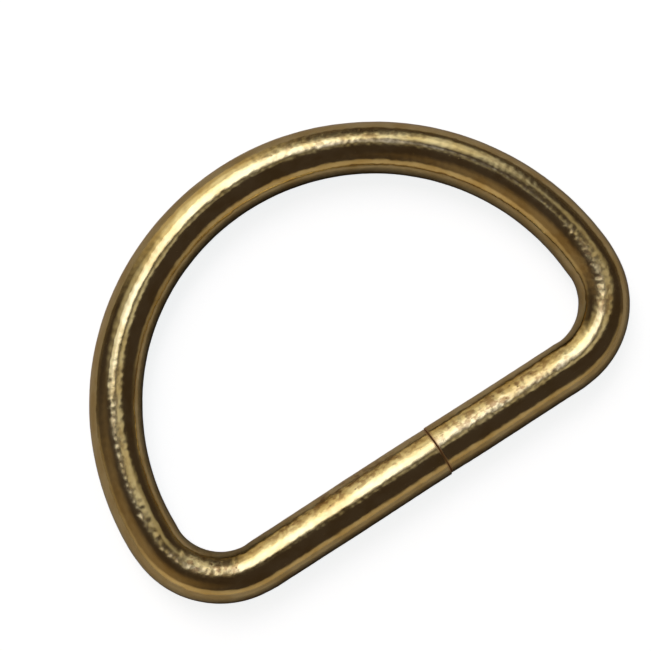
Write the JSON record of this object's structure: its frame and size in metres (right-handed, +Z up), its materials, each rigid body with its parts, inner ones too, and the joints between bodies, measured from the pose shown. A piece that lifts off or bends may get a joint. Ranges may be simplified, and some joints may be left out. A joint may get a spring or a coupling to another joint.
{
  "type": "d ring",
  "caption": "Flat D-shaped loop of round brass-coloured wire: a straight bar, two tight bends and a half-round arch, butt-jointed on the bar.",
  "frame": {"origin": "centre of the ring's bounding box in X and Y, on the plane that the ring lies on", "axes": "+X along the straight bar, +Y from the bar towards the crown of the arch, +Z up out of the plane of the ring"},
  "size_m": [0.0466, 0.0316, 0.0043],
  "materials": {
    "brass_wire": "polished, with fine drawing marks, small pits and scuffed patches"
  },
  "bodies": {
    "root": {"d_ring": "brass_wire"}
  },
  "joints": []
}
